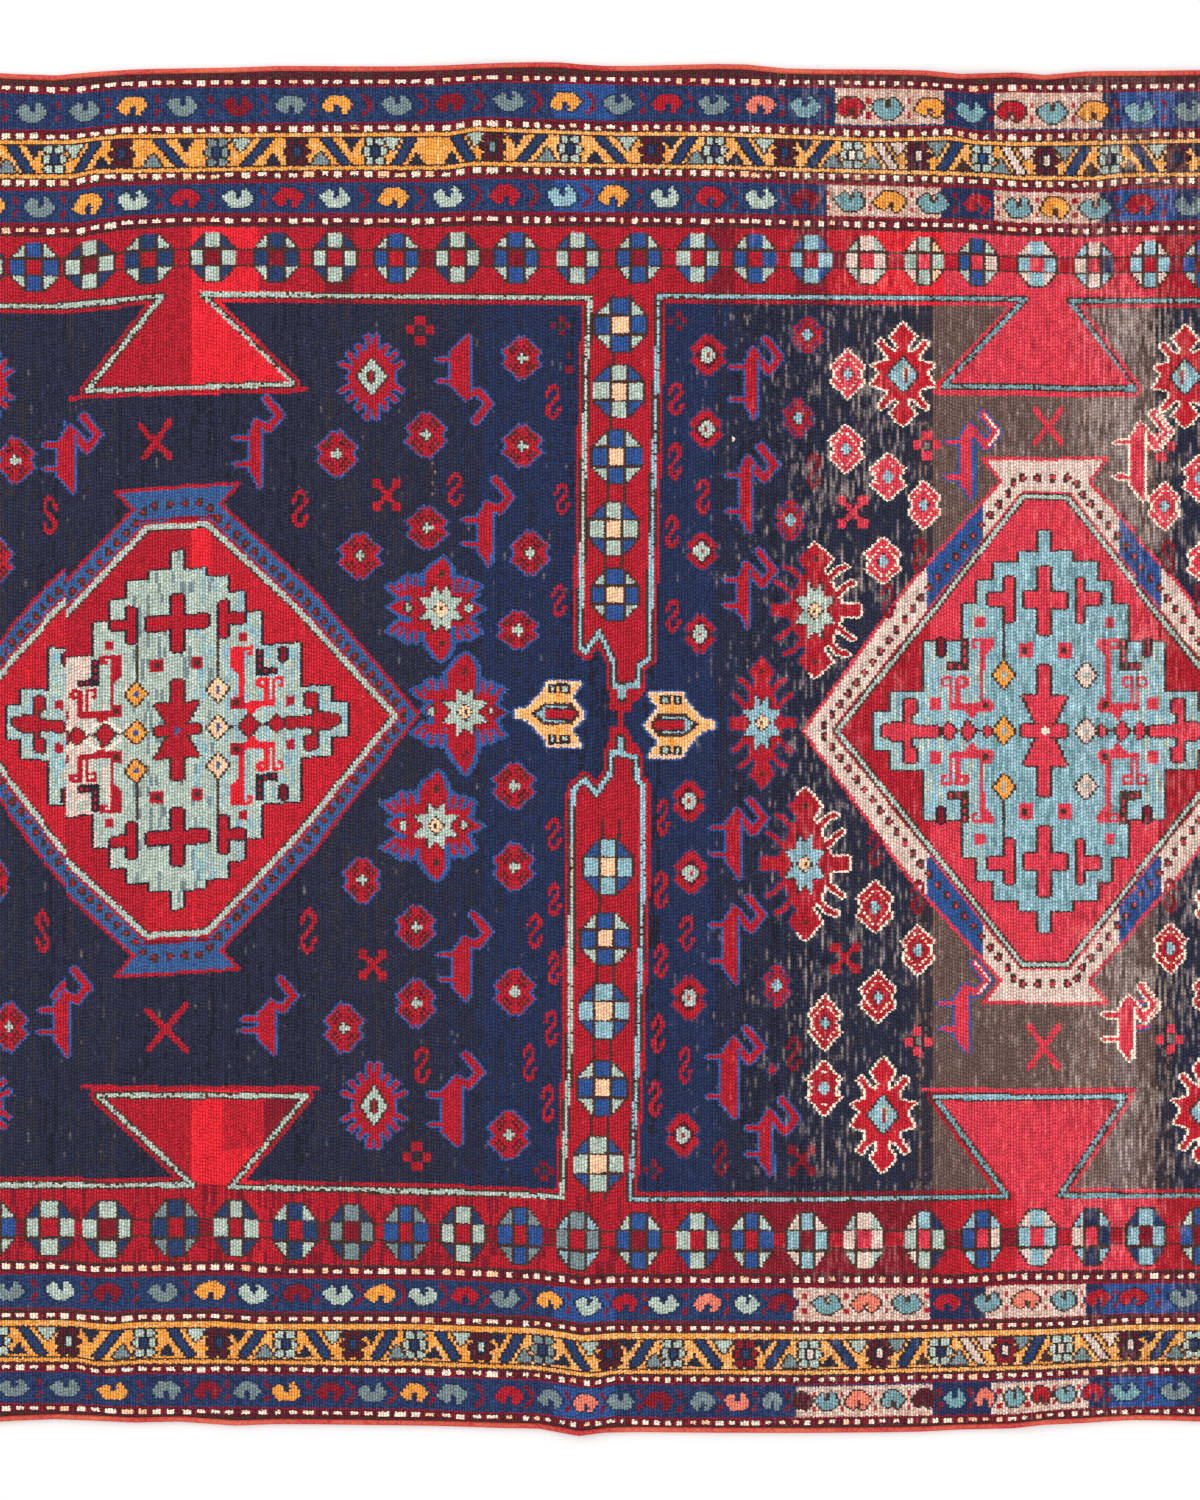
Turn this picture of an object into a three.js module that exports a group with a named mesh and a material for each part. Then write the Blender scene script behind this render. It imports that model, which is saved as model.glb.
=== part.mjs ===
// Kazak rug lying flat: one hand-knotted wool cloth with flat-woven ends, and a
// wool binding worked over each long edge. Millimetres, +Z up. The rug's length
// runs along X and its width along Y. It lies on z = 0, its middle at the origin.

import * as THREE from 'three';

const length = 2140; // end to end, the flat-woven strips included
const flatWovenStrip = 25; // plain strip past the pile at each end
const pileStop = 3; // run over which the pile ends
const pileThickness = 7; // pile and ground together
const flatWovenThickness = 2.5;
const bindingWidth = 6.5;
const bindingHeight = 6.2;
const gap = 0.3; // between the cloth and its bindings
const longestStep = 42; // between one cross-section and the next
const rowsAcross = 14;

// The outline, read across the rug at stations along X. The long edges wander
// by a few millimetres, as the weaver's tension did.
const outline = [
  { x: -1070, far: 676, near: -676 },
  { x: -900, far: 680, near: -680 },
  { x: -760, far: 682, near: -681 },
  { x: -640, far: 678, near: -675 },
  { x: -560, far: 674.5, near: -671 },
  { x: -520, far: 678, near: -672.5 },
  { x: -480, far: 680.5, near: -674.5 },
  { x: -435, far: 681.5, near: -673.5 },
  { x: -380, far: 682.5, near: -677.5 },
  { x: -340, far: 684, near: -676 },
  { x: -240, far: 683.5, near: -677 },
  { x: -170, far: 684.5, near: -678 },
  { x: -110, far: 687, near: -680 },
  { x: -75, far: 687.8, near: -680.5 },
  { x: -55, far: 687.5, near: -684 },
  { x: -35, far: 685.5, near: -687.5 },
  { x: -10, far: 684, near: -684.5 },
  { x: 20, far: 684, near: -684 },
  { x: 100, far: 686, near: -684.7 },
  { x: 130, far: 685.5, near: -684.7 },
  { x: 170, far: 681.5, near: -685 },
  { x: 240, far: 680.5, near: -684.5 },
  { x: 310, far: 679.5, near: -683.5 },
  { x: 345, far: 675.5, near: -681.5 },
  { x: 400, far: 677.5, near: -680 },
  { x: 430, far: 675, near: -676.3 },
  { x: 470, far: 678.5, near: -675 },
  { x: 520, far: 679, near: -672 },
  { x: 600, far: 680, near: -674 },
  { x: 740, far: 682, near: -679 },
  { x: 900, far: 680, near: -680 },
  { x: 1070, far: 676, near: -676 },
];

// Low buckles, where the cloth doesn't lie quite down: the middle of each hump,
// half its size along and across the rug, and how far it lifts.
const buckles = [
  { x: -38, y: -630, along: 48, across: 120, rise: 4.5 },
  { x: -515, y: 560, along: 55, across: 170, rise: 3.5 },
  { x: -510, y: -560, along: 50, across: 150, rise: 3.5 },
  { x: -135, y: 650, along: 60, across: 110, rise: 3 },
  { x: 355, y: 640, along: 55, across: 130, rise: 3.5 },
  { x: 425, y: -640, along: 50, across: 120, rise: 3 },
];

// A smooth curve through the outline's stations gives an edge at any x
function edgeAt(x, edge) {
  const last = outline.length - 1;
  const next = outline.findIndex((station) => station.x > x);
  const at = next > 0 ? next : last;
  const from = outline[at - 1];
  const to = outline[at];
  const before = outline[Math.max(at - 2, 0)];
  const after = outline[Math.min(at + 1, last)];
  const run = to.x - from.x;
  const t = (x - from.x) / run;
  const slopeFrom = (to[edge] - before[edge]) / (to.x - before.x);
  const slopeTo = (after[edge] - from[edge]) / (after.x - from.x);
  return (
    (2 * t ** 3 - 3 * t ** 2 + 1) * from[edge] +
    (t ** 3 - 2 * t ** 2 + t) * run * slopeFrom +
    (3 * t ** 2 - 2 * t ** 3) * to[edge] +
    (t ** 3 - t ** 2) * run * slopeTo
  );
}

function liftAt(x, y) {
  let lift = 0;
  for (const hump of buckles) {
    const away = Math.hypot((x - hump.x) / hump.along, (y - hump.y) / hump.across);
    if (away < 1) lift += hump.rise * (0.5 + 0.5 * Math.cos(Math.PI * away));
  }
  return lift;
}

function thicknessAt(x) {
  const pileEnd = length / 2 - flatWovenStrip;
  const past = THREE.MathUtils.clamp((Math.abs(x) - pileEnd) / pileStop, 0, 1);
  return THREE.MathUtils.lerp(pileThickness, flatWovenThickness, past);
}

// The cross-sections: one at each station, at each end of the pile's stop, and
// as many between them as keep the steps short
function crossSections() {
  const pileEnd = length / 2 - flatWovenStrip;
  const stops = [pileEnd, pileEnd + pileStop];
  const marks = [...outline.map((station) => station.x), ...stops, ...stops.map((x) => -x)];
  marks.sort((a, b) => a - b);
  const sections = [marks[0]];
  for (let i = 1; i < marks.length; i += 1) {
    const run = marks[i] - marks[i - 1];
    const parts = Math.ceil(run / longestStep);
    for (let k = 1; k <= parts; k += 1) sections.push(marks[i - 1] + (run * k) / parts);
  }
  return sections;
}

const sections = crossSections();

// Every vertex of a straight piece is moved to where the cloth lies
function lay(geometry, placeOf) {
  const position = geometry.getAttribute('position');
  for (let i = 0; i < position.count; i += 1) {
    const place = placeOf(position.getX(i), position.getY(i), position.getZ(i));
    position.setXYZ(i, place.x, place.y, place.z + liftAt(place.x, place.y));
  }
  geometry.computeVertexNormals();
  return geometry;
}

// The knotted cloth, with the flat-woven strips at its ends
function rugBody() {
  const spans = sections.length - 1;
  const slab = new THREE.BoxGeometry(spans, 2, 1, spans, rowsAcross, 1);
  return lay(slab, (along, across, up) => {
    const x = sections[Math.round(along + spans / 2)];
    const inset = bindingWidth + gap;
    const near = edgeAt(x, 'near') + inset;
    const far = edgeAt(x, 'far') - inset;
    return {
      x,
      y: THREE.MathUtils.lerp(near, far, (across + 1) / 2),
      z: up > 0 ? thicknessAt(x) : 0,
    };
  });
}

// The binding's section is a flattened oval with a flat underside
function bindingSection() {
  const half = bindingWidth / 2;
  const flat = 0.45 * half;
  const shape = new THREE.Shape();
  shape.moveTo(-flat, 0);
  shape.lineTo(flat, 0);
  shape.lineTo(half, 0.3 * bindingHeight);
  shape.lineTo(half, 0.7 * bindingHeight);
  shape.lineTo(flat, bindingHeight);
  shape.lineTo(-flat, bindingHeight);
  shape.lineTo(-half, 0.7 * bindingHeight);
  shape.lineTo(-half, 0.3 * bindingHeight);
  shape.closePath();
  return shape;
}

// A binding: wool wound over the edge cords for the rug's whole length
function binding(edge) {
  const spans = sections.length - 1;
  const outward = edge === 'far' ? 1 : -1;
  const straight = new THREE.ExtrudeGeometry(bindingSection(), {
    depth: spans,
    steps: spans,
    bevelEnabled: false,
  });
  return lay(straight, (side, up, along) => {
    const x = sections[Math.round(along)];
    return { x, y: edgeAt(x, edge) - (outward * bindingWidth) / 2 + side, z: up };
  });
}

const pileWool = new THREE.MeshStandardMaterial({
  name: 'pile_wool',
  color: 0x7d2733,
  roughness: 0.95,
  metalness: 0,
});
const bindingWool = new THREE.MeshStandardMaterial({
  name: 'binding_wool',
  color: 0xc9564a,
  roughness: 0.9,
  metalness: 0,
});

function piece(name, geometry, material) {
  const mesh = new THREE.Mesh(geometry, material);
  mesh.name = name;
  return mesh;
}

const rug = new THREE.Group();
rug.add(piece('rug_body', rugBody(), pileWool));
rug.add(piece('binding_far', binding('far'), bindingWool));
rug.add(piece('binding_near', binding('near'), bindingWool));

export default rug;
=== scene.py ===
import math

import bpy
import numpy as np
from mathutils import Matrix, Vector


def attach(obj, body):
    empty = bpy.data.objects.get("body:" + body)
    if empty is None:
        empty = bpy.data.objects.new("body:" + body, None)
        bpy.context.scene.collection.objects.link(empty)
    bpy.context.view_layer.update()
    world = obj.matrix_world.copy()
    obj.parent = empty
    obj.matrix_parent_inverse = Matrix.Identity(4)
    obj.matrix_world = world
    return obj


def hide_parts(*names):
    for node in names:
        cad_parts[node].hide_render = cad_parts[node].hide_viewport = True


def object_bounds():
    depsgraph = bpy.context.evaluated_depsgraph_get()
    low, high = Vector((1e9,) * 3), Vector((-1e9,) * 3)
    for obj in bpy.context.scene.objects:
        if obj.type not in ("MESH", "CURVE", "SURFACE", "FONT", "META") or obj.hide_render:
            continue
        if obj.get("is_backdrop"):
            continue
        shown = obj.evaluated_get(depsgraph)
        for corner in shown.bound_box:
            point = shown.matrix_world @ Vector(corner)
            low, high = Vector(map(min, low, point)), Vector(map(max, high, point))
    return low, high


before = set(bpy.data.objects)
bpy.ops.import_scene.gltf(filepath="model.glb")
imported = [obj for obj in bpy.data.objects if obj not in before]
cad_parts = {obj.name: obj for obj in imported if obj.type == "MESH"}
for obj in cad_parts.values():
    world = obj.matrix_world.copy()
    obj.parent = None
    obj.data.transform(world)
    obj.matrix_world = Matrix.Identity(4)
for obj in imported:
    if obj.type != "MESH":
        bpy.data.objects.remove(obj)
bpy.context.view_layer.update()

# Camera: it looks straight down on the rug, as the photograph does, and its
# view ends inside the rug on the left and on the right.
bpy.ops.object.select_all(action="DESELECT")
pile_top = 0.007
view_height = 1.5
lens, sensor = 85, 36
bpy.ops.object.camera_add(location=(-0.015, -0.001, pile_top + view_height * lens / sensor),
                          rotation=(0, 0, 0))
camera = bpy.context.object
camera.data.lens = lens
camera.data.sensor_width = sensor
camera.data.sensor_fit = "AUTO"
bpy.context.scene.camera = camera
bpy.context.scene.view_settings.view_transform = "Standard"

# Light: a wide soft panel to each side and an even, pale surround.
for name, place, turn, power in (
        ("panel_left", (-1.9, 1.2, 2.6), (-0.42, -0.60, 0), 46),
        ("panel_right", (2.1, -0.9, 2.8), (0.34, 0.62, 0), 34)):
    bpy.ops.object.light_add(type="AREA", location=place, rotation=turn)
    panel = bpy.context.object
    panel.name = name
    panel.data.shape = "SQUARE"
    panel.data.size = 2.6
    panel.data.energy = power
world = bpy.data.worlds.new("studio")
world.use_nodes = True
surround = world.node_tree.nodes["Background"]
surround.inputs["Color"].default_value = (1.0, 1.0, 1.0, 1.0)
surround.inputs["Strength"].default_value = 0.75
bpy.context.scene.world = world

# Floor: a plain pale sheet, larger than the view.
bpy.ops.mesh.primitive_plane_add(size=12, location=(0, 0, -0.0006))
floor = bpy.context.object
floor.name = "floor"
pale_floor = bpy.data.materials.new("pale_floor")
pale_floor.use_nodes = True
floor_shader = pale_floor.node_tree.nodes["Principled BSDF"]
floor_shader.inputs["Base Color"].default_value = (0.9, 0.9, 0.9, 1)
floor_shader.inputs["Roughness"].default_value = 0.9
floor.data.materials.append(pale_floor)
floor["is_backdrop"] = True

# Knotted cloth: wool pile tied knot by knot on wool warps, row after row along
# the rug, with a short flat-woven strip at each end. It is woven in one piece
# on the loom, to a chart of dyed wools, and lies on the floor.
flat_strip, pile_stop = 25.0, 3.0
pile_thickness, flat_thickness = 7.0, 2.5

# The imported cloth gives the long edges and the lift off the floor
corners = np.array([vertex.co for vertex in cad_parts["rug_body"].data.vertices]) * 1000
sections = np.unique(corners[:, 0].round(2))
at_section = [corners[np.abs(corners[:, 0] - x) < 0.05] for x in sections]
near_edge = np.array([found[:, 1].min() for found in at_section])
far_edge = np.array([found[:, 1].max() for found in at_section])
lifts = np.array([[found[np.abs(found[:, 1] - y) < 0.6, 2].min() for y in np.linspace(near, far, 15)]
                  for found, near, far in zip(at_section, near_edge, far_edge)])

pile_length = 2090.0
rows, knots = 750, 378
edge_level = 677.0
random = np.random.default_rng(7)

# The dyed wools, as sRGB colours; the first ones are those of the worn ground
most_wools, ground_wools = 32, 7
wools = {
    "navy": (33, 36, 57),
    "night": (26, 26, 42),
    "ink": (27, 39, 72),
    "dusk": (44, 39, 50),
    "brown": (96, 74, 68),
    "grey": (122, 104, 100),
    "beige": (150, 132, 124),
    "crimson": (167, 20, 37),
    "red": (222, 30, 44),
    "scarlet": (184, 24, 40),
    "rose": (208, 53, 70),
    "wine": (124, 16, 34),
    "maroon": (80, 20, 34),
    "blue": (34, 55, 94),
    "azure": (40, 74, 132),
    "sky": (50, 84, 134),
    "rim": (44, 82, 142),
    "sage": (168, 182, 170),
    "ice": (138, 174, 184),
    "cream": (244, 222, 198),
    "blush": (216, 188, 174),
    "gold": (236, 150, 62),
    "peach": (246, 192, 152),
    "apricot": (244, 172, 104),
    "umber": (66, 42, 36),
    "coal": (38, 30, 40),
    "salmon": (226, 118, 96),
    "deep": (30, 42, 78),
    "smoke": (112, 128, 130),
    "earth": (112, 88, 80),
    "teal": (112, 150, 156),
    "tan": (196, 158, 140),
}
ink = {name: number for number, name in enumerate(wools)}

# Where the lines of the borders lie: the level of each in the plan, then its
# course along the rug, which wanders as the weaver's tension did
courses = [
    (677.0, list(zip(sections, far_edge))),
    (669.5, [(-1070, 661), (-760, 667), (-543, 661), (-500, 666), (-460, 668), (-200, 669), (-120, 673),
             (300, 667), (360, 662), (400, 664), (440, 663), (740, 667), (1070, 662)]),
    (620.5, [(-1070, 613), (-543, 613), (-490, 619), (-165, 621), (-140, 626), (0, 621), (100, 621),
             (260, 615), (335, 617), (360, 612), (400, 611), (740, 617), (1070, 614)]),
    (574.0, [(-1070, 570), (-543, 566), (-520, 571), (-300, 575), (-170, 575), (-140, 579), (100, 576),
             (370, 568), (400, 565), (480, 564), (510, 568), (1070, 571)]),
    (528.0, [(-1070, 524), (-535, 518), (-490, 526), (-430, 529), (-200, 528), (-140, 530), (100, 528),
             (350, 523), (400, 519), (480, 518), (510, 520), (1070, 525)]),
    (453.0, [(-1070, 450), (-549, 444), (-453, 453), (-413, 454), (-25, 451), (44, 453), (410, 450),
             (455, 448), (1070, 450)]),
    (-442.0, [(-1070, -440), (-500, -438), (-420, -436), (-300, -441), (-80, -445), (-55, -448),
             (17, -450), (200, -450), (520, -445), (1070, -443)]),
    (-524.0, [(-1070, -520), (-548, -517), (-525, -520), (-380, -518), (-350, -521), (-170, -523),
             (-80, -527), (-30, -533), (-15, -531), (300, -531), (340, -532), (400, -528), (1070, -524)]),
    (-571.5, [(-1070, -568), (-548, -566), (-502, -570), (-480, -568), (-400, -567), (-360, -570),
             (-200, -570), (-80, -574), (-48, -578), (-35, -581), (0, -579), (230, -580), (440, -575),
             (515, -571), (1070, -570)]),
    (-623.5, [(-1070, -617), (-535, -618), (-520, -622), (-500, -622), (-480, -620), (-400, -620),
             (-200, -622), (-80, -626), (-20, -634), (0, -630), (200, -631), (400, -626), (515, -621),
             (1070, -618)]),
    (-668.0, [(-1070, -660), (-533, -661), (-500, -664), (-200, -667), (-150, -670), (-80, -671),
             (-35, -678), (0, -674), (50, -676), (150, -676), (400, -672), (440, -667), (500, -665),
             (1070, -661)]),
    (-677.0, list(zip(sections, near_edge))),
]
levels = np.array([level for level, _ in courses])[::-1]


def lie(x, level):
    """Where a level of the plan lies across the rug at each x."""
    found = [np.interp(x, *zip(*points)) for _, points in courses][::-1]
    return np.array([np.interp(level, levels, at) for at in np.transpose(found)])


# Each tuft's place: its row and its level, and where they lie. A knot's two
# tufts share a level, except on the fine grids, where each has its own
row_x = ((np.arange(rows) + 0.5) / rows - 0.5) * pile_length
tuft_level = ((np.arange(2 * knots) + 0.5) / (2 * knots) - 0.5) * 2 * edge_level
knot_level = np.repeat(tuft_level.reshape(-1, 2).mean(1), 2)
X = row_x[:, None]
field = (X, lie(row_x, knot_level))
fine_field = (X, lie(row_x, tuft_level))
plan = (X, knot_level[None, :].repeat(rows, 0))
fine_plan = (X, tuft_level[None, :].repeat(rows, 0))
chart = np.zeros((rows, 2 * knots), np.uint8)


def inside(points, x, y):
    """Which of the places (x, y) are within a closed outline."""
    hit = np.zeros(np.broadcast(x, y).shape, bool)
    for (ax, ay), (bx, by) in zip(points, points[1:] + points[:1]):
        if ay != by:
            hit ^= ((ay > y) != (by > y)) & (x < ax + (y - ay) * (bx - ax) / (by - ay))
    return hit


def away(points, x, y):
    """How far each place is from a line through some points."""
    nearest = np.full(np.broadcast(x, y).shape, 1e6)
    for (ax, ay), (bx, by) in zip(points, points[1:]):
        dx, dy = bx - ax, by - ay
        along = np.clip(((x - ax) * dx + (y - ay) * dy) / (dx * dx + dy * dy + 1e-6), 0, 1)
        nearest = np.minimum(nearest, np.hypot(x - ax - along * dx, y - ay - along * dy))
    return nearest


def window(points, margin):
    """The part of the chart around some points."""
    xs, ys = zip(*points)
    first = int((min(xs) - margin + pile_length / 2) / pile_length * rows)
    last = int((max(xs) + margin + pile_length / 2) / pile_length * rows) + 1
    low = int((min(ys) - margin - 14 + edge_level) / edge_level * knots) // 2 * 2
    high = int((max(ys) + margin + 14 + edge_level) / edge_level * knots) // 2 * 2 + 2
    return np.s_[max(first, 0):min(last, rows), max(low, 0):min(high, 2 * knots)]


def cover(parts, at=(0, 0), size=(1, 1), turn=0, lean=0, on=fine_field):
    """The tufts under some shapes. A part is (width, points), for a line that
    wide, or (0, points), for a filled outline."""
    def moved(points):
        if turn:
            return [(at[0] + turn * size[1] * py, at[1] + size[0] * px) for px, py in points]
        return [(at[0] + size[0] * px, at[1] + size[1] * py + lean * px) for px, py in points]

    shapes = [(width, moved(points)) for width, points in parts]
    part = window([point for _, points in shapes for point in points], 12)
    x, y = on[0][part[0]], on[1][part]
    mask = np.zeros(np.broadcast(x, y).shape, bool)
    for width, points in shapes:
        mask |= away(points, x, y) < width / 2 if width else inside(points, x, y)
    return part, mask


def grown(mask):
    """A mask one tuft wider all round."""
    wider = mask.copy()
    wider[1:] |= mask[:-1]
    wider[:-1] |= mask[1:]
    wider[:, 1:] |= mask[:, :-1]
    wider[:, :-1] |= mask[:, 1:]
    return wider


def paint(wool, parts, rim=None, **place):
    """Knots some shapes in one wool, and a rim of another round them."""
    part, mask = cover(parts, **place)
    if rim:
        chart[part][grown(mask) & ~mask] = ink[rim]
    chart[part][mask] = ink[wool]
    return part, mask


def block(x0, x1, y0, y1):
    return 0, [(x0, y0), (x1, y0), (x1, y1), (x0, y1)]


def blob(x, y, wide, high):
    return block(x - wide / 2, x + wide / 2, y - high / 2, y + high / 2)


def lozenge(x, y, wide, high):
    return 0, [(x - wide / 2, y), (x, y + high / 2), (x + wide / 2, y), (x, y - high / 2)]


# Ground of the field: its wool changes along the rug, and a row holds single
# knots and short runs of the next batch
zones = [(-1045, "navy", "dusk"), (-500, "navy", "night"), (-300, "navy", "dusk"), (-180, "navy", "ink"),
         (-130, "ink", "navy"), (-48, "ink", "night"), (45, "ink", "deep"), (100, "navy", "ink"),
         (122, "navy", "night"), (215, "navy", "dusk"), (300, "dusk", "brown"), (318, "brown", "earth"),
         (350, "brown", "earth"), (455, "earth", "grey"), (500, "grey", "brown")]
starts = [zone[0] for zone in zones]
for row, x in enumerate(row_x):
    _, main, other = zones[max(np.searchsorted(starts, x) - 1, 0)]
    single = np.repeat(random.random(knots), 2)
    run = np.repeat(random.random(knots // 9 + 1), 18)[:2 * knots]
    chart[row] = ink[main]
    chart[row][0.3 * single + 0.7 * run < 0.12 + 0.3 * random.random()] = ink[other]

# Medallions: each is worked from one quarter, turned over to the other three
four_ways = ((1, 1), (-1, 1), (1, -1), (-1, -1))
both_ends, both_sides = ((1, 1), (1, -1)), ((1, 1), (-1, 1))


def closed(points):
    return points + points[:1]


def whole(quarter):
    """A closed outline from its quarter, which runs from the top round to the right."""
    right_half = quarter + [(px, -py) for px, py in reversed(quarter[:-1])]
    return right_half + [(-px, py) for px, py in reversed(right_half)]


def mirrored(parts, ways=four_ways):
    """Some shapes, turned over to each of the ways."""
    return [(width, [(sx * px, sy * py) for px, py in points])
            for width, points in parts for sx, sy in ways]


def flecked(part, mask, wool, share, x0, x1):
    """Short runs of another wool in what is already knotted."""
    runs = np.repeat(random.random((mask.shape[0], mask.shape[1] // 6 + 1)), 6, axis=1)[:, :mask.shape[1]]
    runs = runs + 0.4 * random.random(mask.shape[0])[:, None]
    here = (X[part[0]] > x0) & (X[part[0]] < x1)
    chart[part][mask & here & (runs < share + 0.2)] = ink[wool]


def squares(line, pitch, edging, middle, side, **place):
    """Small squares at an even pitch along a quarter's line, and along the other three."""
    for (ax, ay), (bx, by) in zip(line, line[1:]):
        count = max(round(math.hypot(bx - ax, by - ay) / pitch), 1)
        for k in range(count):
            x, y = ax + (bx - ax) * (k + 0.5) / count, ay + (by - ay) * (k + 0.5) / count
            paint(edging, mirrored([blob(x, y, side + 1.5, side + 4.5), blob(x, y, side + 4, side)]),
                  **place)
            paint(middle, mirrored([blob(x, y, side * 0.8, side * 0.9)]), **place)


# Their flared ring, a narrower one within it, and the stepped figure
ring_quarter = [(0, 243), (62, 243), (44, 223), (136, 131), (242, 0)]
ring = whole(ring_quarter)
steps = ((6, 179), (27, 160), (51, 151), (67, 134), (83, 113), (122, 79), (153, 35), (171, 17))
figure = [block(-wide, wide, -high, high) for wide, high in steps]


def mid_line(inner_quarter):
    """The line halfway between the two rings, for the squares."""
    pairs = zip(ring_quarter[2:], inner_quarter[1:])
    return [(0, 226), (30, 226)] + [((ax + bx) / 2, (ay + by) / 2) for (ax, ay), (bx, by) in pairs]


# The left medallion's ground, ring and squares
left = {"at": (-438, 19), "lean": 0.065}
inner_quarter = [(0, 204), (30, 204), (118, 116), (218, 0)]
inner = whole(inner_quarter)
paint("sky", [(0, ring)], **left)
paint("crimson", [(3.4, closed(ring)), (0, inner), (11.4, closed(inner))], **left)
part, mask = cover([(0, inner)], **left)
x, y = X[part[0]], fine_field[1][part]
chart[part][mask & ((x > -404) | (x > -472) & (y < 0))] = ink["scarlet"]
chart[part][mask & (abs(x + 414) < 10) & (y > 0)] = ink["red"]
chart[part][mask & cover([(8.6, closed(inner))], **left)[1]] = ink["umber"]
paint("sage", [(5.4, closed(inner))], **left)
paint("wine", mirrored([block(-42, 42, 210, 213)], both_ends), **left)
squares(mid_line(inner_quarter), 12.6, "umber", "crimson", 4, **left)

# The right medallion's, taller, with spans of blue in its pale ring
right = {"at": (430, 18), "size": (1, 1.12)}
inner_quarter = [(0, 209), (22, 209), (104, 116), (208, 0)]
inner = whole(inner_quarter)
part, mask = paint("blush", [(0, ring)], **right)
x, y = X[part[0]], fine_field[1][part]
blue_spans = ((abs(x - 340) < 27) & (abs(y) > 109)) | ((x > 504) & (abs(y - 20) > 130))
chart[part][mask & blue_spans] = ink["azure"]
paint("rose", [(3.5, closed(ring))], **right)
part, mask = paint("rose", [(0, inner), (11, closed(inner))], **right)
chart[part][mask & (X[part[0]] < 316)] = ink["crimson"]
paint("umber", [(7.5, closed(inner))], **right)
paint("sage", [(3.8, closed(inner))], **right)
squares(mid_line(inner_quarter), 12.4, "umber", "rose", 3.5, **right)

# The figures' own wools, with runs of others in them
for place, wool, rim, others in (
        (left, "sage", "coal", (("blush", 0.8, -575, -520), ("blush", 0.16, -520, -484),
                                ("smoke", 0.12, -484, -400), ("ice", 0.3, -420, -264))),
        (right, "ice", "umber", (("sage", 0.28, 250, 372), ("teal", 0.26, 372, 575)))):
    part, mask = paint(wool, figure, rim=rim, **place)
    for other, share, start, end in others:
        flecked(part, mask, other, share, start, end)

# What each figure holds: crosses, barred stems, squares and corners
for place, wool, rim, arm, stem, inward in (
        (left, "crimson", "coal", 31, 46, 1),
        ({**right, "size": (0.97, 1.22)}, "rose", "umber", 21, 36, -1)):
    paint(wool, mirrored([block(-6, 6, 79, 135), block(-arm, arm, 101, 114)], both_ends), rim=rim, **place)
    paint(wool, mirrored([block(stem - 3.5, stem + 4, 89, 126), block(stem + 4, stem + 21, 103, 113)]),
          rim=rim, **place)
    paint(wool, mirrored([blob(67, 89, 9, 9), blob(20, 66, 13, 13), blob(113, 22, 10, 10)]), **place)
    paint("umber", mirrored([blob(20, 66, 5.5, 5.5)]), **place)
    paint(rim, mirrored([block(78, 86, 49, 76), block(80, 101, 49, 57)]), **place)
    knots_on_it = ((82, 58), (82, 65), (82, 72), (89, 53), (96, 53))
    paint(wool, mirrored([blob(x, y, 3, 3.6) for x, y in knots_on_it]), **place)
    paint("wine", mirrored([block(103, 110, 62, 76)], ((inward, 1), (inward, -1))), rim="coal", **place)


# The hooked figure of each quarter: a tapered stem on a bar, with a foot and
# curling strokes
def hooked(taper, ways):
    stem = (0, [(54, 79), (67, 79), (67.5, 24), (63, 24), (62.5, taper), (54, taper + 9)])
    foot = (0, [(66, 19), (75, 9), (84, 19)])
    curls = [(3.4, [(66, 77.5), (75, 77.5), (75, 71.5), (70.5, 71.5)]),
             (3.6, [(90, 20), (90, 45), (81.5, 45), (81.5, 38.5), (85.5, 38.5)]),
             (3.4, [(97, 20), (97, 45), (105, 45), (105.5, 39), (101.5, 38.5)])]
    return mirrored([stem, foot, block(54, 97, 18, 24), *curls], ways)


paint("crimson", hooked(50, ((-1, 1), (-1, -1))), **left)
paint("red", hooked(50, both_ends), **left)
paint("rose", hooked(63, four_ways), **{**right, "size": (0.97, 1.17)})
for place, wool in ((left, "crimson"), (right, "rose")):
    paint(wool, mirrored([blob(60, 23, 12, 12)]), **place)
    paint("umber", mirrored([blob(60, 23, 5.5, 5.5)]), **place)

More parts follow.
